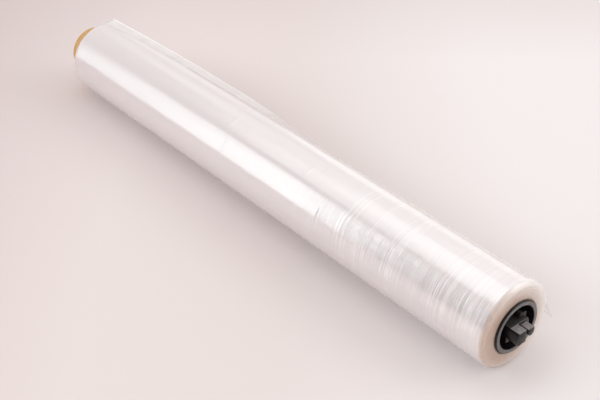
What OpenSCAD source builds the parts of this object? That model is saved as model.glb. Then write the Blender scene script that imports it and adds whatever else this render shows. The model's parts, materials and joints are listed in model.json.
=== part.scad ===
// A roll of cling film on a cardboard core, lying on a flat surface, with a moulded
// drive plug in one end of the core. Millimetres, +Z up. The roll's axis runs along X,
// the plug looks along +X, and the origin is the middle of the flat spot underneath.

/* [Film] */
// Width of the film, along the roll
film_w = 450; // [280:5:600]
// Outside diameter of the wound film
film_od = 59.4; // [54:0.2:90]
// Radius that the winding's end edges are worn to
edge_r = 4; // [2:0.5:6]
// How deep the soft winding is pressed flat where it rests
flat_depth = 0.4; // [0.3:0.05:0.8]
// Clearance between the first turn and the core
wind_clearance = 0.05; // [0.02:0.01:0.2]

/* [Turns] */
// Radial pitch of the groups of turns that show on the ends
turn_pitch = 0.9; // [0.6:0.1:2]
// How far one group of turns stands back from the next
turn_step = 0.25; // [0.1:0.05:0.5]
// Height of the gauge bands around the winding
band_h = 0.2; // [0.1:0.05:0.4]
// Length of winding from one gauge band to the next
band_pitch = 36; // [24:2:60]

/* [Loose end] */
// Free length of film at the plug end
tail_near = 21; // [12:1:26]
// Free length of film at the open end
tail_far = 11; // [8:1:25]
// Angle up from +Y at which the film leaves the roll at the plug end
leave_near = 7; // [0:1:50]
// Angle up from +Y at which the film leaves the roll at the open end
leave_far = 89; // [60:1:110]
// Angle by which the film stands off the roll at the plug end
lift_near = 20; // [12:1:30]
// Angle by which the film stands off the roll at the open end
lift_far = 12; // [8:1:25]
// Thickness that stands for the film's 0.0085 mm
tail_t = 0.4; // [0.3:0.05:0.8]
// How far the loose film's side edges lie inside the ends of the roll
tail_inset = 2; // [1:0.5:8]

/* [Core] */
// Outside diameter of the cardboard core
core_od = 37.5; // [35:0.5:44]
// Wall of the cardboard core
core_wall = 3; // [2:0.25:3.5]
// How far the core stands out of the film at the open end
core_out = 17.5; // [5:0.5:40]
// Bevel on the core's cut edges
core_bevel = 0.4; // [0.2:0.1:0.8]
// How much deeper the core's bore is reamed where the plug sits
seat_ream = 0.4; // [0.25:0.05:0.6]
// Length of the reamed seat past the end of the plug's sleeve
seat_spare = 1; // [0.5:0.25:4]

/* [Plug] */
// Clearance between the plug's sleeve and its reamed seat in the core
plug_clearance = 0.15; // [0.1:0.05:0.4]
// How far the plug's crush ribs stand short of the reamed seat
rib_clearance = 0.03; // [0.02:0.01:0.05]
// Wall of the plug's sleeve
plug_wall = 1.1; // [0.9:0.1:2]
// How far the sleeve reaches into the core
sleeve_l = 18; // [15:1:40]
// Thickness of the flange
flange_t = 1.5; // [1.25:0.25:4]
// How far the flange's rim lies inside the core's outside
flange_inset = 0.5; // [0:0.1:1]
// Bevel on the flange's front edge
flange_bevel = 0.7; // [0.4:0.1:1.2]
// Depth of the cup behind the flange's back face
cup_depth = 9; // [6:0.5:12]
// Thickness of the cup's floor
floor_t = 2; // [1.5:0.25:3]
// Lead-in at the cup's mouth
mouth_lead = 0.3; // [0.2:0.1:1]

/* [Coupling] */
// Radius of the hub in the cup
hub_r = 8.8; // [7:0.1:9.5]
// How far the hub stands out of the flange's back face
hub_out = 2.7; // [2:0.1:6]
// Height above the axis of the flat on the hub and the wide jaw
hub_flat = 4.3; // [3:0.1:5]
// Reach of the wide jaw past the hub's face
wide_jaw_l = 6.8; // [4:0.2:10]
// Length of the sloping nose under the wide jaw
nose_l = 5; // [2:0.25:6]
// Height of the sloping nose under the wide jaw
nose_h = 4.4; // [2:0.2:6]
// Reach of the narrow jaw past the hub's face
narrow_jaw_l = 6.2; // [3:0.2:9]
// Width of the narrow jaw
narrow_jaw_w = 5; // [3:0.25:5.25]
// Height of the narrow jaw's top above the axis
narrow_jaw_top = 2.3; // [1:0.1:2.8]
// Depth of the narrow jaw's foot below the axis
narrow_jaw_foot = 3; // [2:0.1:4]
// Gap between the two jaws
slot_w = 2.8; // [2:0.1:3.5]
// How far the gap is cut back into the hub
slot_depth = 5; // [2:0.5:8]
// Reach of the two locking lugs from the axis
lug_reach = 11.3; // [10:0.1:12]
// Width of a locking lug where it leaves the hub
lug_w = 7; // [4:0.25:8]
// How far the locking lugs' faces stand below the hub's face
lug_drop = 2.2; // [0.5:0.1:4]
// Thickness of the webs between the hub and the cup's wall
web_t = 1.6; // [1:0.1:2.5]
// How far a web stands below the flange's back face
web_drop = 4; // [2:0.5:5]

/* [Hidden] */

film_r = film_od / 2;
core_r = core_od / 2;
bore_r = core_r - core_wall;
axis_z = film_r - flat_depth;
near_x = film_w / 2;
far_x = -film_w / 2;

// The winding
wind_r = core_r + wind_clearance;
shoulder_r = film_r - min(edge_r, (film_r - wind_r) * 0.6);
shoulder = film_r - shoulder_r;
edge_steps = 6;
turn_groups = max(2, round((shoulder_r - wind_r) / turn_pitch));
group_pitch = (shoulder_r - wind_r) / turn_groups;
band_steps = 4;
straight_w = film_w - 2 * shoulder;
bands = max(1, round(straight_w / band_pitch));
stations = bands * band_steps;
// Angle between neighbours that never repeats over a few dozen turns
spread = 137.5;

// The loose end
tail_root = 0.6;
// The loose film lies close for half its width and stands out towards the plug end
tail_flare = 3;
tail_stations = 30;
tail_points = 4;

// The plug and its seat
seat_r = bore_r + seat_ream;
sleeve_r = seat_r - plug_clearance;
cup_r = sleeve_r - plug_wall;
flange_r = core_r - flange_inset;
mouth_r = cup_r + mouth_lead;
sleeve_lead = 0.8;
crush_ribs = 6;
crush_rib_w = 1.5;
lug_angles = [46, 226];
web_angles = [136, 316];
// Small overlap that joins two solids of one moulding
weld = 0.4;
round_fn = 96;
small_fn = 32;

// Turns the working plane so that a section drawn in X and Y lies across the roll,
// with Y up, and is carried along the roll's axis
module on_axis(x = 0) {
    translate([x, 0, axis_z])
        rotate([90, 0, 90])
            children();
}

// Radius of the winding at a share of its straight length, with slow gauge bands
function band_r(share) =
    film_r - band_h / 2
    + band_h / 4 * (sin(360 * bands * share) + sin(spread * bands * share));

// How far a group of turns stands back from the winding's end
function group_back(i) = turn_step * (0.5 + 0.5 * sin(i * spread));

// The turns on one end, as points from the core outwards
function end_face(end) = [
    for (i = [0 : turn_groups - 1])
        for (k = [0, 1])
            [wind_r + (i + k) * group_pitch, end * (film_w / 2 - group_back(i))]
];

// The worn edge of one end, as points from the end face to the outside
function worn_edge(end) = [
    for (i = [0 : edge_steps - 1])
        let (a = 90 * i / edge_steps)
            [shoulder_r + (band_r(end < 0 ? 0 : 1) - shoulder_r) * sin(a),
             end * (film_w / 2 - shoulder * (1 - cos(a)))]
];

function reversed(list) = [for (i = [len(list) - 1 : -1 : 0]) list[i]];

module winding() {
    outside = [
        for (i = [stations : -1 : 0])
            [band_r(i / stations), -straight_w / 2 + straight_w * i / stations]
    ];
    rotate_extrude($fn = round_fn)
        polygon(concat(
            end_face(1), worn_edge(1), outside,
            reversed(worn_edge(-1)), reversed(end_face(-1))
        ));
}

// A value that keeps near its open-end size and grows towards the plug end
function flared(far, near, share) = far + (near - far) * pow(share, tail_flare);

// A point of the loose film, at a share of the width from the open end to the plug end
// and a share of the free length, on its roll side or its outer side
function tail_point(width_share, length_share, side) =
    let (
        a = leave_far + (leave_near - leave_far) * width_share,
        free = flared(tail_far, tail_near, width_share) * length_share,
        away_a = a + flared(lift_far, lift_near, width_share) - 90,
        up = tail_t * (side - 0.5),
        root_r = film_r - tail_root
    )
    [
        root_r * cos(a) + free * cos(away_a) - up * sin(away_a),
        root_r * sin(a) + free * sin(away_a) + up * cos(away_a),
        far_x + tail_inset + (film_w - 2 * tail_inset) * width_share
    ];

// The last turn's free end: it leaves the roll over the top at the open end, and lower
// down the back at the plug end, so its cut edge runs aslant
module loose_end() {
    ring = concat(
        [for (j = [0 : tail_points - 1]) [j / (tail_points - 1), 0]],
        [for (j = [tail_points - 1 : -1 : 0]) [j / (tail_points - 1), 1]]
    );
    n = len(ring);
    points = [
        for (i = [0 : tail_stations])
            for (q = ring)
                tail_point(i / tail_stations, q[0], q[1])
    ];
    sides = [
        for (i = [0 : tail_stations - 1])
            for (j = [0 : n - 1])
                let (a = i * n + j, b = i * n + (j + 1) % n)
                    each [[a, b + n, b], [a, a + n, b + n]]
    ];
    // Each end of the sheet is a strip of quads between its two sides
    strips = [
        for (j = [0 : tail_points - 2])
            let (a = j, b = j + 1, c = n - 2 - j, d = n - 1 - j)
                each [[a, b, c], [a, c, d]]
    ];
    last = tail_stations * n;
    far_cap = [for (t = strips) t];
    near_cap = [for (t = strips) [last + t[0], last + t[2], last + t[1]]];
    polyhedron(points, concat(sides, far_cap, near_cap));
}

// All the turns of film as one solid, with the flat spot that it rests on
module film_roll() {
    color("gainsboro")
        difference() {
            on_axis() {
                winding();
                loose_end();
            }
            translate([far_x - 1, -film_r, -film_r])
                cube([film_w + 2, film_od, film_r]);
        }
}

// The wound cardboard tube, with bevelled cut edges and the reamed seat for the plug
module core_tube() {
    core_l = film_w + core_out;
    seat_from = core_l - sleeve_l - seat_spare;
    color("burlywood")
        on_axis(far_x - core_out)
            rotate_extrude($fn = round_fn)
                polygon([
                    [bore_r + core_bevel, 0], [core_r - core_bevel, 0],
                    [core_r, core_bevel], [core_r, core_l - core_bevel],
                    [core_r - core_bevel, core_l], [seat_r + core_bevel, core_l],
                    [seat_r, core_l - core_bevel], [seat_r, seat_from],
                    [bore_r, seat_from], [bore_r, core_bevel]
                ]);
}

// Sleeve, flange and cup, turned in one section around the axis
module plug_shell() {
    rotate_extrude($fn = round_fn)
        polygon([
            [0, -cup_depth - floor_t], [cup_r, -cup_depth - floor_t],
            [cup_r, -sleeve_l], [sleeve_r - sleeve_lead, -sleeve_l],
            [sleeve_r, -sleeve_l + sleeve_lead], [sleeve_r, 0], [flange_r, 0],
            [flange_r, flange_t - flange_bevel], [flange_r - flange_bevel, flange_t],
            [mouth_r, flange_t], [cup_r, flange_t - mouth_lead], [cup_r, -cup_depth],
            [0, -cup_depth]
        ]);
}

// Crush ribs that hold the sleeve in the core
module crush_rib_set() {
    for (i = [0 : crush_ribs - 1])
        rotate(360 * i / crush_ribs)
            translate([sleeve_r - weld, -crush_rib_w / 2, -sleeve_l + 2 * sleeve_lead])
                cube([
                    weld + plug_clearance - rib_clearance, crush_rib_w,
                    sleeve_l - 3 * sleeve_lead
                ]);
}

// The end view of the hub: a round with a flat on top
module hub_shape() {
    intersection() {
        circle(r = hub_r, $fn = round_fn);
        translate([-hub_r, -hub_r])
            square([2 * hub_r, hub_r + hub_flat]);
    }
}

// The hub, split by the gap between its jaws
module hub() {
    difference() {
        translate([0, 0, -cup_depth - weld])
            linear_extrude(height = cup_depth + hub_out + weld)
                hub_shape();
        translate([-slot_w / 2, -hub_r - 1, hub_out - slot_depth])
            cube([slot_w, hub_r + 1 + narrow_jaw_top, slot_depth + 1]);
    }
}

// The wide jaw, left of the gap: the hub's own section carried on, with a sloping nose
module wide_jaw() {
    tip = hub_out + wide_jaw_l;
    intersection() {
        translate([0, 0, hub_out - weld])
            linear_extrude(height = wide_jaw_l + weld)
                hub_shape();
        rotate([0, -90, 0])
            linear_extrude(height = 2 * hub_r)
                polygon([
                    [0, -hub_r - 1], [tip - nose_l, -hub_r - 1], [tip - nose_l, -hub_r],
                    [tip, -hub_r + nose_h], [tip, hub_r], [0, hub_r]
                ]);
        translate([-2 * hub_r - slot_w / 2, -2 * hub_r, 0])
            cube([2 * hub_r, 4 * hub_r, tip]);
    }
}

// The narrow jaw, right of the gap: a bar with a rounded foot
module narrow_jaw() {
    foot_r = narrow_jaw_w / 2;
    translate([slot_w / 2, -narrow_jaw_foot, hub_out - slot_depth])
        linear_extrude(height = slot_depth + narrow_jaw_l) {
            translate([0, foot_r])
                square([narrow_jaw_w, narrow_jaw_foot + narrow_jaw_top - foot_r]);
            translate([foot_r, foot_r])
                circle(r = foot_r, $fn = small_fn);
        }
}

// One of the pointed lugs that lock the plug to a spindle
module lug(angle) {
    root = hub_r - 3;
    rotate(angle)
        translate([0, 0, -cup_depth - weld])
            linear_extrude(height = cup_depth + weld + hub_out - lug_drop)
                polygon([
                    [root, -lug_w / 2], [hub_r - 0.5, -lug_w / 2],
                    [lug_reach, 0], [hub_r - 0.5, lug_w / 2], [root, lug_w / 2]
                ]);
}

// One web from the hub to the cup's wall
module web(angle) {
    rotate(angle)
        translate([hub_r - 2, -web_t / 2, -cup_depth - weld])
            cube([cup_r + weld - hub_r + 2, web_t, cup_depth + weld - web_drop]);
}

// The moulded plug: it sits in the plug end of the core with its flange on the core's end
module drive_plug() {
    color("#1c1b1d")
        on_axis(near_x) {
            plug_shell();
            crush_rib_set();
            hub();
            wide_jaw();
            narrow_jaw();
            for (a = lug_angles)
                lug(a);
            for (a = web_angles)
                web(a);
        }
}

film_roll();
core_tube();
drive_plug();
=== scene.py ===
# %% [markdown]
# # A roll of cling film
#
# The object is a wide catering roll: hundreds of turns of clear film on a cardboard
# core, with a black moulded plug in one end of the core. Clear film turns milky white
# when it is wound, because light is turned back at every layer, and it stays glossy.
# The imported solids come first, as a fixed frame in metres. Each piece that follows is
# measured from them.

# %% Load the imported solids
import json
import math

import bmesh
import bpy
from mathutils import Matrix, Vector, noise

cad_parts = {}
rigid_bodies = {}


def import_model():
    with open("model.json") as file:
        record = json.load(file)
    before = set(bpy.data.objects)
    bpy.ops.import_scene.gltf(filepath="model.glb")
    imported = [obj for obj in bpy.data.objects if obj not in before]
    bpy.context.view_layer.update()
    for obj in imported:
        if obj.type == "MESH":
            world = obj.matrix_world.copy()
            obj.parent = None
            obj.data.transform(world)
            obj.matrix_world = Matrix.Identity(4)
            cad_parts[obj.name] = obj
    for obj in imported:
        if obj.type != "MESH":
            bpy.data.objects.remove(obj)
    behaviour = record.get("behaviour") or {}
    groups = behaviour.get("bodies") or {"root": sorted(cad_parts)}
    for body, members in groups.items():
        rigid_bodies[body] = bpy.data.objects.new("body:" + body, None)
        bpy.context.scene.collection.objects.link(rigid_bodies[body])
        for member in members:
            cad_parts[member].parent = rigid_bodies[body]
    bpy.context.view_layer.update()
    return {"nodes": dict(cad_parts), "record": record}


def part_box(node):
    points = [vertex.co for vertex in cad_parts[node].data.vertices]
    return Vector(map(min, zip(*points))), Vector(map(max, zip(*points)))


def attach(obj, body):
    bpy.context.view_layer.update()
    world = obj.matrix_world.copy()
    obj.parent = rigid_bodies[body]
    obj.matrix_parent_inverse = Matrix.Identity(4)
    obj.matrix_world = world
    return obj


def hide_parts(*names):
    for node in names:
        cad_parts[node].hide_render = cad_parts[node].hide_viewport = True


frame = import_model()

MM = 0.001
print("solids:", ", ".join(sorted(frame["nodes"])))

# %% [markdown]
# The roll lies along X. Its ends come from the film's solid, the height of its axis from
# the core's stated bore, and the winding's radius from the low side of the film solid's
# box, because the loose film stands out on the high side.

# %% Measure the frame
film_low, film_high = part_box("film_roll")
core_low, core_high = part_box("core_tube")
plug_low, plug_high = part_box("drive_plug")
core_bore = next(m for m in frame["record"]["mounts"] if m["name"] == "core_bore")

near_x = film_high.x
far_x = film_low.x
film_width = near_x - far_x
film_radius = -film_low.y
core_radius = core_high.y
axis_height = core_bore["pos_m"][2]
print(f"film {film_width / MM:.1f} mm wide, {2 * film_radius / MM:.1f} mm across")
print(f"core {2 * core_radius / MM:.1f} mm across, axis {axis_height / MM:.1f} mm up")

# %% [markdown]
# A camera is a place, a direction and a focal length. These three put the roll's ends,
# its long edges and the plug where a photographer sees them from the plug end, about
# 35 degrees above the table.

# %% The camera
camera_place = Vector((0.5331, -0.4254, 0.4700))
camera_yaw = math.radians(139.836)
camera_pitch = math.radians(-34.517)
sensor_width = 36.0
focal_length = 68.466

camera_data = bpy.data.cameras.new("camera")
camera_data.sensor_width = sensor_width
camera_data.lens = focal_length
camera_data.clip_start, camera_data.clip_end = 0.01, 50.0
camera = bpy.data.objects.new("camera", camera_data)
bpy.context.scene.collection.objects.link(camera)
line_of_sight = Vector((
    math.cos(camera_pitch) * math.cos(camera_yaw),
    math.cos(camera_pitch) * math.sin(camera_yaw),
    math.sin(camera_pitch),
))
camera.location = camera_place
camera.rotation_mode = "QUATERNION"
camera.rotation_quaternion = line_of_sight.to_track_quat("-Z", "Y")
bpy.context.scene.camera = camera
print("camera looks along", tuple(round(v, 3) for v in line_of_sight))

# %% [markdown]
# A node tree is easier to read as sums than as boxes and wires. `Value` wraps one socket,
# and its arithmetic adds Math nodes. `Bench` adds every other node with one call: its
# kind, its settings, then what goes into its sockets. Both serve materials and Geometry
# Nodes alike.

# %% A small language for node trees
class Value:
    """One output socket. Arithmetic on it adds Math nodes to its tree."""

    def __init__(self, bench, socket):
        self.bench, self.socket = bench, socket

    def __add__(self, other):
        return self.bench.maths("ADD", self, other)

    def __sub__(self, other):
        return self.bench.maths("SUBTRACT", self, other)

    def __rsub__(self, other):
        return self.bench.maths("SUBTRACT", other, self)

    def __mul__(self, other):
        return self.bench.maths("MULTIPLY", self, other)

    def __truediv__(self, other):
        return self.bench.maths("DIVIDE", self, other)

    __radd__ = __add__
    __rmul__ = __mul__


class Bench:
    """A node tree under construction."""

    def __init__(self, tree):
        self.tree = tree

    def connect(self, target, value):
        if isinstance(value, Value):
            self.tree.links.new(value.socket, target)
        elif value is not None:
            target.default_value = value

    def node(self, kind, settings=None, sockets=None, out=0):
        made = self.tree.nodes.new(kind)
        for name, setting in (settings or {}).items():
            setattr(made, name, setting)
        for name, value in (sockets or {}).items():
            self.connect(made.inputs[name], value)
        return Value(self, made.outputs[out]) if made.outputs else made

    def maths(self, operation, *values):
        sockets = dict(enumerate(values))
        return self.node("ShaderNodeMath", {"operation": operation}, sockets)

    def span(self, value, low, high, to_low=0.0, to_high=1.0, smooth=False):
        kind = "SMOOTHSTEP" if smooth else "LINEAR"
        return self.node(
            "ShaderNodeMapRange", {"interpolation_type": kind, "clamp": True},
            {0: value, 1: low, 2: high, 3: to_low, 4: to_high})

    def vector(self, x, y, z):
        return self.node("ShaderNodeCombineXYZ", None, {"X": x, "Y": y, "Z": z})

    def noise(self, vector, scale=1.0, detail=2.0, roughness=0.5):
        return self.node("ShaderNodeTexNoise", {"noise_dimensions": "3D"}, {
            "Vector": vector, "Scale": scale, "Detail": detail, "Roughness": roughness})

    def blend(self, share, first, second):
        sockets = {0: share, 6: first, 7: second}
        return self.node("ShaderNodeMix", {"data_type": "RGBA"}, sockets, out=2)


print("node language ready")

# %% [markdown]
# Wound film keeps a record of how it was wound. Stretch and thickness vary a little over
# the width, so the winding carries slow gauge bands and, over them, fine ridges that run
# round it like threads, stronger towards the plug end. Its end edges are worn round, and
# the turns on its ends stand a little in and out.
#
# All of that is a rule, not a drawing, so Geometry Nodes make it. A flat grid is the
# starting mesh: one direction runs along the section, from the bore over one end, the
# outside and the other end back to the bore, and the other direction goes round the
# axis. Ranges that each switch on in turn walk the section.

# %% The section's stretches, in rows of the grid
face_rows = 22
edge_rows = 9
body_rows = 440
around = 176
worn_edge = 4.0 * MM
wind_gap = 0.05 * MM
sewing_reach = 0.004 * MM

stretches = {}
row = 0
for stretch, rows in (
    ("near_face", face_rows), ("near_edge", edge_rows), ("body", body_rows),
    ("far_edge", edge_rows), ("far_face", face_rows), ("bore", 1),
):
    stretches[stretch] = (row, row + rows)
    row += rows
print(f"{row} rows by {around}, {2 * row * around} triangles")

# %% Inputs of the winding's tree
winding_tree = bpy.data.node_groups.new("wound_film", "GeometryNodeTree")
winding_sizes = {
    "Width": film_width,
    "Radius": film_radius,
    "Bore": core_radius + wind_gap,
    "Worn edge": worn_edge,
    "Axis height": axis_height,
    "Turn step": 0.22 * MM,
    "Gauge bands": 0.10 * MM,
    "Ridges": 0.06 * MM,
    "Seed": 3.7,
}
for name in winding_sizes:
    winding_tree.interface.new_socket(name, in_out="INPUT", socket_type="NodeSocketFloat")
winding_tree.interface.new_socket("Skin", in_out="INPUT", socket_type="NodeSocketMaterial")
winding_tree.interface.new_socket("Mesh", in_out="OUTPUT", socket_type="NodeSocketGeometry")
print("inputs:", ", ".join(winding_sizes))

# %% [markdown]
# The radius and the place along the axis are sums over those ranges. The two ranges over
# the worn edges turn through a right angle, which gives the quarter rounds. Noise that is
# stretched round the roll makes the ridges, and noise that depends on the radius alone
# steps the turns on the ends. Last, whatever would reach under the table is pressed flat.

# %% Grow the winding's tree
def grow_winding(tree):
    bench = Bench(tree)
    given = tree.nodes.new("NodeGroupInput")
    size = {name: Value(bench, given.outputs[name]) for name in winding_sizes}
    width, radius, worn = size["Width"], size["Radius"], size["Worn edge"]

    grid = tree.nodes.new("GeometryNodeMeshGrid")
    for name, value in (
        ("Size X", 1.0), ("Size Y", 1.0), ("Vertices X", row + 1), ("Vertices Y", around + 1),
    ):
        grid.inputs[name].default_value = value
    place = bench.node("GeometryNodeInputPosition")
    flat = tree.nodes.new("ShaderNodeSeparateXYZ")
    bench.connect(flat.inputs[0], place)
    here = (Value(bench, flat.outputs["X"]) + 0.5) * float(row)
    turn = (Value(bench, flat.outputs["Y"]) + 0.25) * math.tau

    on = {name: bench.span(here, *ends) for name, ends in stretches.items()}
    near_turn = on["near_edge"] * (math.pi / 2)
    far_turn = on["far_edge"] * (math.pi / 2)
    cosine, sine = "COSINE", "SINE"

    face_height = radius - worn - size["Bore"]
    ring = size["Bore"] + face_height * (on["near_face"] - on["far_face"])
    ring = ring + worn * (bench.maths(sine, near_turn) + bench.maths(cosine, far_turn) - 1.0)
    along = width * 0.5 - worn * (1.0 - bench.maths(cosine, near_turn))
    # Rows stand closer together towards the plug end, where the ridges are finer
    gone = on["body"] * (0.40 + on["body"] * 0.60)
    along = along - (width - worn * 2.0) * gone
    along = along - worn * bench.maths(sine, far_turn) + width * on["bore"]

    seed = size["Seed"]
    turn_noise = bench.noise(bench.vector(ring * 1400.0, seed, 0.5), detail=1.0)
    step_back = size["Turn step"] * bench.span(turn_noise, 0.3, 0.7)
    along = along - step_back * (1.0 - on["near_edge"])
    along = along + step_back * on["far_edge"] * (1.0 - on["bore"] * 2.0)

    level_y = ring * bench.maths(cosine, turn)
    level_z = ring * bench.maths(sine, turn)
    gauge = bench.noise(bench.vector(along * 28.0, seed, level_z * 4.0), detail=1.0)
    across = bench.vector(along * 300.0 + seed, level_y * 7.0, level_z * 7.0)
    ridges = bench.span(bench.noise(across, detail=3.0, roughness=0.6), 0.30, 0.70, smooth=True)
    near_share = bench.span(along, 0.02, 0.13, 0.10, 1.0, smooth=True)
    on_body = on["near_edge"] * (1.0 - on["far_edge"])
    swell = size["Gauge bands"] * (gauge * 2.0 - 2.0)
    swell = swell + size["Ridges"] * near_share * (ridges - 0.5)
    ring = ring + swell * on_body

    y = ring * bench.maths(cosine, turn)
    z = bench.maths("MAXIMUM", ring * bench.maths(sine, turn) + size["Axis height"], 0.0)
    moved = bench.node("GeometryNodeSetPosition", None, {
        "Geometry": Value(bench, grid.outputs["Mesh"]), "Position": bench.vector(along, y, z)})
    sewn = bench.node("GeometryNodeMergeByDistance", None, {
        "Geometry": moved, "Distance": sewing_reach})
    smooth = bench.node("GeometryNodeSetShadeSmooth", None, {"Geometry": sewn})
    real = bench.node("GeometryNodeRealizeInstances", None, {"Geometry": smooth})
    skinned = bench.node("GeometryNodeSetMaterial", None, {
        "Geometry": real, "Material": Value(bench, given.outputs["Skin"])})
    bench.node("NodeGroupOutput", None, {"Mesh": skinned})


grow_winding(winding_tree)
print("the winding's tree has", len(winding_tree.nodes), "nodes")

# %% [markdown]
# A tree is run by a modifier on an object. Its inputs are set by each socket's own
# identifier. The evaluated result is copied to a plain mesh, so that what is kept is
# ordinary geometry, and the faces are turned outwards.

# %% Run a tree and keep its mesh
def outwards(mesh):
    work = bmesh.new()
    work.from_mesh(mesh)
    bmesh.ops.remove_doubles(work, verts=work.verts, dist=0.002 * MM)
    bmesh.ops.recalc_face_normals(work, faces=work.faces)
    if work.calc_volume(signed=True) < 0:
        bmesh.ops.reverse_faces(work, faces=work.faces)
    open_edges = sum(not edge.is_manifold for edge in work.edges)
    work.to_mesh(mesh)
    work.free()
    return open_edges


def add_piece(name, mesh):
    piece = bpy.data.objects.new(name, mesh)
    bpy.context.scene.collection.objects.link(piece)
    return piece


def plain_mesh(piece):
    shown = piece.evaluated_get(bpy.context.evaluated_depsgraph_get())
    mesh = bpy.data.meshes.new_from_object(shown)
    piece.modifiers.clear()
    piece.data = mesh
    return outwards(mesh)


def run_tree(name, tree, values, skin):
    piece = add_piece(name, bpy.data.meshes.new(name))
    modifier = piece.modifiers.new("tree", "NODES")
    modifier.node_group = tree
    for socket in tree.interface.items_tree:
        if socket.in_out == "INPUT":
            modifier[socket.identifier] = skin if socket.name == "Skin" else values[socket.name]
    open_edges = plain_mesh(piece)
    print(f"{name}: {len(piece.data.polygons)} faces, {open_edges} open edges")
    return piece


def new_material(name):
    made = bpy.data.materials.new(name)
    made.use_nodes = True
    made.node_tree.nodes.clear()
    return made, Bench(made.node_tree)


# %% [markdown]
# Every finish here is worked out from where a point lies on the roll: how far along the
# axis, how far out from it, and where round it. Object coordinates give all three, so no
# finish needs a map of its own.

# %% Places on the roll
def roll_places(bench):
    coordinates = bench.node("ShaderNodeTexCoord", None, None, out="Object")
    parts = bench.tree.nodes.new("ShaderNodeSeparateXYZ")
    bench.connect(parts.inputs[0], coordinates)
    along, y, z = (Value(bench, parts.outputs[name]) for name in "XYZ")
    up = z - axis_height
    out = bench.maths("SQRT", y * y + up * up)
    turn = bench.maths("ARCTAN2", up, y)
    return along, y, up, out, turn


def finish_material(bench, fixed, varying, normal=None):
    shader = bench.tree.nodes.new("ShaderNodeBsdfPrincipled")
    for name, value in {**fixed, **varying}.items():
        bench.connect(shader.inputs[name], value)
    if normal is not None:
        bench.connect(shader.inputs["Normal"], normal)
    bench.node("ShaderNodeOutputMaterial", None, {
        "Surface": Value(bench, shader.outputs["BSDF"])})


print("places on the roll ready")

# %% [markdown]
# The wound film is a pale, slightly warm white with a strong gloss. Threads of stretched
# film run round it, which break up any reflection. They stand in bunches near the plug
# end and are strongest high on the side, where their paler colour is partly painted glints
# of the long highlight. A few tucks, where a turn has folded under the next, lie across it
# as paler lines of painted highlight. On the ends the cut turns show as fine rings,
# creamier towards the core, and painted shade darkens each end towards the front.

# %% The wound film
film_white = (0.694, 0.634, 0.634, 1.0)
thread_and_glint_white = (0.830, 0.775, 0.770, 1.0)
end_cream_and_shade = (0.480, 0.290, 0.190, 1.0)
end_pale = (0.820, 0.750, 0.710, 1.0)

# Each tuck: place along the roll, place round it and half its length round, in mm and degrees
tucks = (
    (-25.0, 150.0, 20.0), (-31.0, 112.0, 14.0), (175.0, 116.0, 16.0),
    (146.0, 84.0, 26.0), (151.0, 92.0, 28.0), (156.0, 78.0, 20.0),
    (76.0, 156.0, 14.0), (182.0, 62.0, 18.0), (52.0, 112.0, 10.0),
)
tuck_width = 1.6 * MM

# Each bunch of threads: place along the roll and half its width, in mm
bunches = ((104.0, 9.0), (120.0, 7.0), (145.0, 12.0), (188.0, 10.0), (211.0, 14.0))
glint_side_middle = math.radians(149.0)


def tuck_lines(bench, along, turn):
    wander = bench.noise(bench.vector(turn * 1.3, along * 9.0, 4.0), detail=2.0)
    lines = 0.0
    for place, middle, reach in tucks:
        off = along - (wander - 0.5) * (9.0 * MM) - place * MM
        line = bench.span(bench.maths("ABSOLUTE", off), 0.0, tuck_width, 1.0, 0.0, smooth=True)
        round_off = bench.maths("ABSOLUTE", turn - math.radians(middle))
        reach = math.radians(reach)
        window = bench.span(round_off, 0.3 * reach, reach, 1.0, 0.0, smooth=True)
        lines = line * window + lines
    return lines


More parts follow.
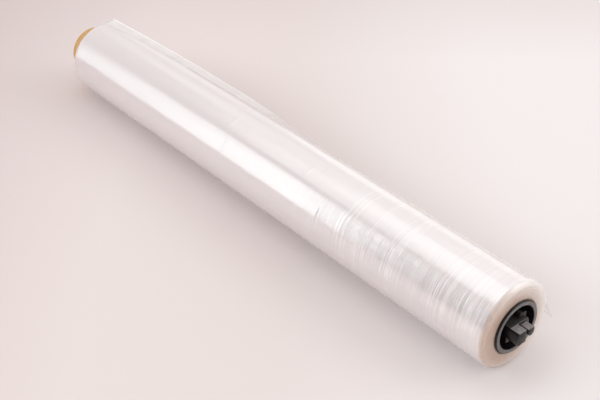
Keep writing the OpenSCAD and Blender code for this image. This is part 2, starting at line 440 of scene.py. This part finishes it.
def make_wound_film():
    made, bench = new_material("wound_film")
    along, y, up, out, turn = roll_places(bench)
    end_side = bench.maths("ABSOLUTE", along)
    on_end = bench.span(end_side, near_x - 3.8 * MM, near_x - 0.5 * MM, smooth=True)
    near_share = bench.span(along, 0.02, 0.11, 0.05, 1.0, smooth=True)
    bunched = 0.45
    for place, reach in bunches:
        off = bench.maths("ABSOLUTE", along - place * MM)
        bunched = bench.span(off, 0.4 * reach * MM, reach * MM, 1.0, 0.0, smooth=True) + bunched
    off_middle = bench.maths("ABSOLUTE", turn - glint_side_middle)
    on_glint_side = bench.span(off_middle, math.radians(13.0), math.radians(30.0), 1.0, 0.25, smooth=True)
    strong = near_share * bunched * on_glint_side

    threads = bench.noise(bench.vector(along * 760.0, y * 11.0, up * 11.0),
                          detail=3.0, roughness=0.65)
    hairlines = bench.noise(bench.vector(along * 2600.0, y * 30.0, up * 30.0), detail=1.0)
    folds = tuck_lines(bench, along, turn)
    rings = bench.noise(bench.vector(out * 2400.0, y * 8.0, up * 8.0), detail=3.0)

    # Partly painted highlight: the threads' paler colour stands for glints of the long highlight on
    # the ridges, strongest on the side where that highlight lies, and the paler tuck lines are
    # painted highlight too.
    steps = bench.span(threads, 0.43, 0.60, smooth=True)
    pale = steps * strong + folds * 0.35
    side = bench.blend(pale, film_white, thread_and_glint_white)
    depth = bench.span(out, core_radius, film_radius - worn_edge * 0.6)
    crinkles = bench.noise(bench.vector(out * 500.0, y * 260.0, up * 260.0), detail=2.0)
    # Painted shade: the y term darkens each end towards the front of the roll, away from the light.
    # The rings, crinkles and the creamier tone towards the core are the film's own.
    cut = rings * 0.35 + crinkles * 0.35 + depth * 0.5 + y * 14.0
    end_tone_and_shade = bench.blend(bench.span(cut, 0.35, 1.05), end_cream_and_shade, end_pale)
    colour = bench.blend(on_end, side, end_tone_and_shade)

    side_relief = (steps * 0.09 + hairlines * 0.03) * strong + folds * 0.15
    relief = side_relief * (1.0 - on_end) + (rings * 0.16 + crinkles * 0.20) * on_end
    bumps = bench.node("ShaderNodeBump", None, {
        "Strength": 1.0, "Distance": 1.0 * MM, "Height": relief})
    roughness = 0.20 + on_end * 0.28 + threads * 0.06
    finish_material(
        bench,
        {"IOR": 2.3, "Specular IOR Level": 1.0, "Coat Roughness": 0.07, "Coat IOR": 1.5,
         "Subsurface Weight": 0.6, "Subsurface Scale": 0.008, "Subsurface Radius": (1.0, 0.8, 0.7)},
        {"Base Color": colour, "Roughness": roughness, "Coat Weight": 1.0 - on_end * 0.8},
        bumps,
    )
    return made


wound_film = make_wound_film()
film_winding = run_tree("film_winding", winding_tree, winding_sizes, wound_film)
film_winding.data.set_sharp_from_angle(angle=math.radians(40.0))

# %% [markdown]
# The last turn ends in a loose flap, cut aslant. It leaves the roll over the top at the
# open end and low down the back at the plug end. It stands off at both ends and clings in
# between. A single layer of film is clear: what shows is its cut edge, painted near-white
# as painted highlight that fades towards the plug end, and a faint sheen.
#
# Each station across the width gives the line of free film there, from the roll to the
# cut edge. Long soft waves, which grow towards the edge, keep it from looking like card.

# %% The loose end
flap_stations = 150
flap_points = 10
flap_inset = 2.0 * MM
flap_root = 0.6 * MM
flap_thickness = 0.12 * MM
flap_wave = 0.2 * MM
# Shares of the width where the flap starts to cling, and over which it settles
cling_from, cling_over = 0.38, 0.20
# At the open end and at the plug end: free length, angle where it leaves, angle it lifts
flap_far = (11.0 * MM, math.radians(89.0), math.radians(12.0))
flap_near = (21.0 * MM, math.radians(7.0), math.radians(20.0))


def flap_point(across, outwards_share):
    late = across ** 3
    free = flap_far[0] + (flap_near[0] - flap_far[0]) * late
    leave = flap_far[1] + (flap_near[1] - flap_far[1]) * across
    settled = min(max((across - cling_from) / cling_over, 0.0), 1.0)
    lift = flap_far[2] * (1.0 - settled) + flap_near[2] * late
    heading = leave + lift - math.pi / 2
    root = film_radius - flap_root
    x = far_x + flap_inset + (film_width - 2 * flap_inset) * across
    wave = noise.noise((x * 60.0, outwards_share * 0.8, 2.5)) * flap_wave * outwards_share
    distance = free * outwards_share
    return (
        x,
        root * math.cos(leave) + distance * math.cos(heading) - wave * math.sin(heading),
        axis_height + root * math.sin(leave) + distance * math.sin(heading)
        + wave * math.cos(heading),
    )


def build_flap():
    points, faces, edge_shares = [], [], []
    for i in range(flap_stations + 1):
        for j in range(flap_points + 1):
            share = 1.0 - (1.0 - j / flap_points) ** 2
            points.append(flap_point(i / flap_stations, share))
            edge_shares.append(share)
    for i in range(flap_stations):
        for j in range(flap_points):
            a = i * (flap_points + 1) + j
            faces.append((a, a + 1, a + flap_points + 2, a + flap_points + 1))
    mesh = bpy.data.meshes.new("film_tail")
    mesh.from_pydata(points, [], faces)
    shares = mesh.attributes.new("towards_edge", "FLOAT", "POINT")
    shares.data.foreach_set("value", edge_shares)
    return add_piece("film_tail", mesh)


# %% A single layer of clear film
clear_layer = (0.86, 0.825, 0.82, 1.0)
edge_glint_white = (0.97, 0.95, 0.94, 1.0)


def make_clear_film():
    made, bench = new_material("clear_film")
    share = bench.node("ShaderNodeAttribute", {"attribute_name": "towards_edge"}, None, out="Fac")
    along, y, up, out, turn = roll_places(bench)
    # Painted highlight: the cut edge is painted near-white for the light it gathers, fading towards
    # the plug end.
    edge = bench.span(share, 0.90, 0.94, smooth=True)
    edge = edge * bench.span(along, -0.07, -0.03, 1.0, 0.12, smooth=True)
    streaks = bench.noise(bench.vector(along * 60.0, y * 12.0, up * 12.0), detail=1.0)
    haze = bench.span(streaks, 0.35, 0.65, 0.42, 0.56)
    alpha = haze * bench.span(along, -0.06, 0.0, 1.0, 0.12, smooth=True) + edge * 0.6
    alpha = alpha + bench.span(along, 0.20, near_x, 0.0, 0.10)
    colour = bench.blend(edge, clear_layer, edge_glint_white)
    finish_material(
        bench, {"Roughness": 0.30, "IOR": 1.5, "Specular IOR Level": 0.6},
        {"Base Color": colour, "Alpha": alpha})
    return made


film_tail = build_flap()
film_tail.data.materials.append(make_clear_film())
wall = film_tail.modifiers.new("wall", "SOLIDIFY")
wall.thickness, wall.offset = flap_thickness, 0.0
print("film_tail:", plain_mesh(film_tail), "open edges,", len(film_tail.data.polygons), "faces")
film_tail.data.shade_smooth()

# %% [markdown]
# The core is a tube of kraft board, wound aslant from strips. Its outer strip leaves a
# seam that climbs round it, the fibres run with the strip, and the cut end shows the
# plies as rings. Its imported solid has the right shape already, so it only gets a finish.

# %% Kraft board
kraft_light = (0.680, 0.425, 0.190, 1.0)
kraft_dark = (0.450, 0.250, 0.110, 1.0)
kraft_cut = (0.500, 0.390, 0.320, 1.0)
strip_climb = 88.0 * MM
ply = 0.5 * MM


def make_kraft():
    made, bench = new_material("kraft_board")
    along, y, up, out, turn = roll_places(bench)
    climb = bench.maths("FRACT", turn / math.tau + along / strip_climb + 4.0)
    seam = bench.span(bench.maths("ABSOLUTE", climb - 0.5), 0.0, 0.006, 1.0, 0.0)
    fibres = bench.noise(bench.vector(along * 500.0, y * 1300.0, up * 1300.0), detail=4.0)
    clouds = bench.noise(bench.vector(along * 60.0, y * 60.0, up * 60.0), detail=2.0)
    to_cut = bench.maths("MINIMUM", along - core_low.x, core_high.x - along)
    on_cut = bench.span(to_cut, 0.1 * MM, 0.35 * MM, 1.0, 0.0)
    plies = bench.maths("FRACT", out / ply)
    glue = bench.span(bench.maths("ABSOLUTE", plies - 0.5), 0.36, 0.5)

    face = bench.blend(bench.span(fibres * 0.6 + clouds * 0.4, 0.3, 0.7), kraft_dark, kraft_light)
    face = bench.blend(seam * 0.7, face, kraft_dark)
    cut = bench.blend(glue * 0.6 + fibres * 0.3, kraft_cut, kraft_dark)
    relief = fibres * 0.05 - seam * 0.2 - glue * on_cut * 0.15
    bumps = bench.node("ShaderNodeBump", None, {
        "Strength": 1.0, "Distance": 1.0 * MM, "Height": relief})
    finish_material(
        bench, {"Specular IOR Level": 0.25},
        {"Base Color": bench.blend(on_cut, face, cut), "Roughness": 0.75 + fibres * 0.15}, bumps)
    return made


kraft_board = make_kraft()
core_tube = frame["nodes"]["core_tube"]
core_tube.data.materials.clear()
core_tube.data.materials.append(kraft_board)
print("core_tube has", core_tube.data.materials[0].name)

# %% [markdown]
# The plug is one moulding in black plastic. A mould can't make a knife edge, so every
# outer edge has a small round that catches light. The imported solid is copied, its loose
# triangles are joined and its flat faces are made whole again, and a Bevel modifier runs
# round what is left of its edges.

# %% The moulded plug
edge_round = 0.38 * MM
join_reach = 0.005 * MM
flat_angle = math.radians(0.6)
edge_angle = math.radians(28.0)
smooth_angle = math.radians(32.0)


def build_plug():
    mesh = frame["nodes"]["drive_plug"].data.copy()
    mesh.name = "coupling_plug"
    work = bmesh.new()
    work.from_mesh(mesh)
    bmesh.ops.remove_doubles(work, verts=work.verts, dist=join_reach)
    bmesh.ops.dissolve_limit(
        work, angle_limit=flat_angle, verts=work.verts, edges=work.edges)
    work.to_mesh(mesh)
    work.free()
    if "custom_normal" in mesh.attributes:
        mesh.attributes.remove(mesh.attributes["custom_normal"])
    while len(mesh.materials) < 2:
        mesh.materials.append(None)
    piece = add_piece("coupling_plug", mesh)
    rounding = piece.modifiers.new("rounding", "BEVEL")
    rounding.width = edge_round
    rounding.segments = 2
    rounding.limit_method = "ANGLE"
    rounding.angle_limit = edge_angle
    # The new faces on the rounds take the second slot, whose finish paints them as the palest
    # highlight.
    rounding.material = 1
    open_edges = plain_mesh(piece)
    piece.data.shade_smooth()
    piece.data.set_sharp_from_angle(angle=smooth_angle)
    print(f"coupling_plug: {len(piece.data.polygons)} faces, {open_edges} open edges")
    return piece


coupling_plug = build_plug()

# %% [markdown]
# Moulded black plastic is a very dark grey with a satin skin. It stays black in its recesses
# and on its sides. Painted highlight makes the rim's face and the tops of the jaws, where light
# falls, a dull grey, and the rounded edges the palest. The way a face points and where it lies
# tell which is which. The edges have a slot of their own.

# %% Black moulded plastic
plastic_black = (0.008, 0.006, 0.007, 1.0)
plastic_lit_grey = (0.300, 0.272, 0.272, 1.0)
edge_highlight_grey = (0.560, 0.520, 0.520, 1.0)
lit_ring_radius = (15.0 * MM, 17.7 * MM)
jaws_from = plug_high.x - 7.4 * MM
hub_reach = 9.5 * MM


def make_black_plastic(name, worn, least_highlight):
    made, bench = new_material(name)
    along, y, up, out, turn = roll_places(bench)
    coordinates = bench.node("ShaderNodeTexCoord", None, None, out="Object")
    grain = bench.noise(coordinates, scale=5200.0, detail=2.0)
    patches = bench.noise(coordinates, scale=420.0, detail=3.0)
    pointing = bench.tree.nodes.new("ShaderNodeSeparateXYZ")
    bench.connect(pointing.inputs[0], bench.node("ShaderNodeNewGeometry", None, None, out="Normal"))
    faces_out = bench.span(Value(bench, pointing.outputs["X"]), 0.75, 0.95)
    faces_up = bench.span(Value(bench, pointing.outputs["Z"]), 0.60, 0.95)
    rim = bench.span(out, lit_ring_radius[0] - 0.1 * MM, lit_ring_radius[0])
    rim = rim * bench.span(out, lit_ring_radius[1], lit_ring_radius[1] + 0.1 * MM, 1.0, 0.0)
    on_jaws = bench.span(along, jaws_from, jaws_from + 0.6 * MM, 0.15, 1.0)
    on_hub = bench.span(out, hub_reach, hub_reach + 0.3 * MM, 1.0, 0.0)
    # Painted highlight: the rim's face where it points out and the jaw tops where they point up are
    # painted grey where light falls on them.
    painted_lit = bench.maths("MAXIMUM", faces_out * rim * 0.7, faces_up * on_jaws * on_hub)
    lit_parts = bench.maths("MAXIMUM", rim, bench.span(on_jaws, 0.4, 1.0) * on_hub)
    painted_lit = bench.maths("MAXIMUM", painted_lit, lit_parts * least_highlight)
    painted_lit = painted_lit * bench.span(patches, 0.25, 0.70, 0.55, 1.0)
    # The second colour here is the painted highlight's grey.
    colour = bench.blend(painted_lit, plastic_black, worn)
    bumps = bench.node("ShaderNodeBump", None, {
        "Strength": 0.5, "Distance": 0.06 * MM, "Height": grain})
    finish_material(
        bench, {"IOR": 1.5, "Specular IOR Level": 0.3},
        {"Base Color": colour, "Roughness": 0.32 + painted_lit * 0.14}, bumps)
    return made


# Each finish: its name, its painted highlight grey and the least painted highlight on what stands
# out
plug_finishes = (("black_plastic", plastic_lit_grey, 0.0), ("lit_edge", edge_highlight_grey, 0.5))
for slot, finish in enumerate(plug_finishes):
    coupling_plug.data.materials[slot] = make_black_plastic(*finish)
edge_faces = sum(face.material_index == 1 for face in coupling_plug.data.polygons)
print("coupling_plug is black, with", edge_faces, "faces on its rounded edges")

# %% [markdown]
# The table is a pale, matt surface, faintly pink. Painted light makes it paler towards the
# right, and painted shade makes it darker far back and to the left, where less light falls.
# It runs far out, so no edge of it shows from any side.

# %% The table
table_reach = 12.0
table_drop = 0.1 * MM
table_painted_shade = (0.610, 0.518, 0.513, 1.0)
table_middle = (0.768, 0.688, 0.677, 1.0)
table_painted_light = (0.845, 0.795, 0.790, 1.0)


def build_table():
    mesh = bpy.data.meshes.new("table")
    corners = [(sx * table_reach, sy * table_reach, -table_drop)
               for sx, sy in ((-1, -1), (1, -1), (1, 1), (-1, 1))]
    mesh.from_pydata(corners, [], [(0, 1, 2, 3)])
    made, bench = new_material("table_top")
    x, y, up, out, turn = roll_places(bench)
    to_right = x * 0.645 + y * 0.764
    away = y * 0.645 - x * 0.764
    # Painted shade and light: darker at the left and far back, paler at the right, as light falls
    # on the table.
    colour = bench.blend(bench.span(to_right, -0.32, -0.12), table_painted_shade, table_middle)
    colour = bench.blend(bench.span(to_right, -0.02, 0.20, smooth=True), colour, table_painted_light)
    colour = bench.blend(bench.span(away, 0.22, 0.42, 0.0, 0.45), colour, table_painted_shade)
    finish_material(
        bench, {"Roughness": 1.0, "Specular IOR Level": 0.0}, {"Base Color": colour})
    mesh.materials.append(made)
    return add_piece("table", mesh)


build_table()
print("table is", 2 * table_reach, "m across")

# %% [markdown]
# Gloss needs something to reflect. A tall panel stands on the table to the left, and its
# foot draws the sharp lower edge of the long highlight. Panels overhead and behind fill
# the top of the roll. The standing ones shine in gloss alone, so they leave no bright
# patch where they stand. Four more further off light the table, the plug and the roll's
# low side, and three of them don't show in the film's gloss. All are area lights that the
# camera can't see, and a soft world fills the rest.

# %% Light panels
lamp_white = (0.955, 1.0, 1.01)
aim_at = Vector((0.1, 0.0, 0.03))


def add_panel(name, centre, size, aim, radiance):
    lamp = bpy.data.lights.new(name, "AREA")
    lamp.shape = "RECTANGLE"
    lamp.size, lamp.size_y = size
    lamp.color = lamp_white
    lamp.energy = radiance * math.pi * size[0] * size[1]
    holder = bpy.data.objects.new(name, lamp)
    holder.location = centre
    holder.rotation_mode = "QUATERNION"
    holder.rotation_quaternion = Vector(aim).to_track_quat("-Z", "Y")
    holder.visible_camera = False
    bpy.context.scene.collection.objects.link(holder)
    print(name, "gives", round(lamp.energy, 2), "W")


side_y = -0.755
# Each part of the side panel: left and right edge, foot and top, and strength
side_parts = (
    (-1.75, -1.28, 0.00, 0.95, 0.26), (-1.28, -0.90, 0.00, 0.86, 0.90),
    (-0.90, -0.58, 0.00, 0.86, 1.28), (-1.20, -0.58, 0.86, 1.02, 1.10),
    (-0.58, -0.49, 0.00, 0.74, 2.00), (-0.49, -0.40, 0.00, 0.38, 1.50),
)
for number, (left, right, foot, head, strength) in enumerate(side_parts):
    add_panel(f"side_panel_{number}", ((left + right) / 2, side_y, (foot + head) / 2),
              (right - left, head - foot), (0, 1, 0), strength)

panel_height = 1.0
# Each part of the panel overhead: left and right edge, front and back edge, and strength
top_parts = (
    (-0.95, -0.64, -0.45, 0.25, 0.50), (-0.64, -0.48, -0.40, -0.10, 0.25),
    (-0.64, -0.48, -0.10, 0.43, 0.80), (-0.48, 0.00, -0.55, -0.10, 0.90),
    (-0.48, 0.00, -0.10, 0.43, 0.85), (-0.60, 0.20, 0.50, 1.30, 0.55),
    (0.20, 1.10, 0.50, 1.30, 1.70), (-1.40, -0.60, 0.30, 1.60, 0.34),
    (-2.40, -1.40, 0.30, 1.60, 0.12),
)
for number, (left, right, front, back, strength) in enumerate(top_parts):
    add_panel(f"top_panel_{number}", ((left + right) / 2, (front + back) / 2, panel_height),
              (right - left, back - front), (0, 0, -1), strength)

back_y = 1.7
add_panel("far_back_panel", (-2.5, back_y, 0.5), (2.0, 1.0), (0, -1, 0), 0.30)
add_panel("near_back_panel", (-0.5, back_y, 0.5), (2.0, 1.0), (0, -1, 0), 0.60)
for lamp in bpy.data.objects:
    if lamp.name.startswith("side_panel") or lamp.name.endswith("back_panel"):
        lamp.visible_diffuse = False
# These face the roll: centre, width and height, and strength
for name, centre, size, strength in (
    ("high_fill_panel", (0.5, -1.6, 1.4), (1.8, 0.8), 2.60),
    ("low_fill_panel", (0.9, -1.1, 0.70), (1.0, 0.5), 0.90),
    ("right_fill_panel", (1.2, 1.0, 0.70), (1.0, 0.5), 2.10),
    ("left_fill_panel", (-1.30, -1.80, 0.85), (2.2, 1.2), 3.50),
):
    add_panel(name, centre, size, aim_at - Vector(centre), strength)
for name in ("high_fill_panel", "low_fill_panel", "left_fill_panel"):
    bpy.data.objects[name].visible_glossy = False

# %% [markdown]
# The room is evenly pale, apart from the side in front of the roll, where whoever looks
# at it stands in a darker part. The film shows that as a darker band near the plug. The
# same pale backdrop shows behind the roll, in its gloss and through its clear flap.

# %% The room's own light
room_colour = (1.0, 0.925, 0.89, 1.0)
dark_side, pale_side = 0.05, 0.66
backdrop_colour = (0.80, 0.75, 0.735, 1.0)

world = bpy.data.worlds.new("room")
bpy.context.scene.world = world
world.use_nodes = True
world.node_tree.nodes.clear()
room = Bench(world.node_tree)
looks = room.tree.nodes.new("ShaderNodeSeparateXYZ")
room.connect(looks.inputs[0], room.node("ShaderNodeTexCoord", None, None, out="Generated"))
level = room.span(Value(room, looks.outputs["Y"]), -0.85, -0.05, dark_side, pale_side)
camera_ray, glossy_ray, transmission_ray = (
    room.node("ShaderNodeLightPath", None, None, out=f"Is {kind} Ray")
    for kind in ("Camera", "Glossy", "Transmission"))
pale_share = room.span(level, dark_side, pale_side)
seen = room.maths("MAXIMUM", room.maths("MAXIMUM", camera_ray, transmission_ray),
                  glossy_ray * pale_share)
light = room.node("ShaderNodeBackground", None, {"Color": room_colour, "Strength": level})
backdrop = room.node("ShaderNodeBackground", None, {
    "Color": backdrop_colour, "Strength": 1.0})
sky = room.node("ShaderNodeMixShader", None, {0: seen, 1: light, 2: backdrop})
room.node("ShaderNodeOutputWorld", None, {"Surface": sky})
bpy.context.scene.view_settings.view_transform = "Standard"
print("room level from", dark_side, "to", pale_side)

# %% [markdown]
# Nothing on a roll of film moves by itself, so every piece rides on the one body. The
# winding and its flap stand for the film's solid, and the rounded plug for the plug's.

# %% Hand over the pieces
for piece in (film_winding, film_tail):
    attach(piece, "root")
    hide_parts("film_roll")
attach(coupling_plug, "root")
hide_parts("drive_plug")
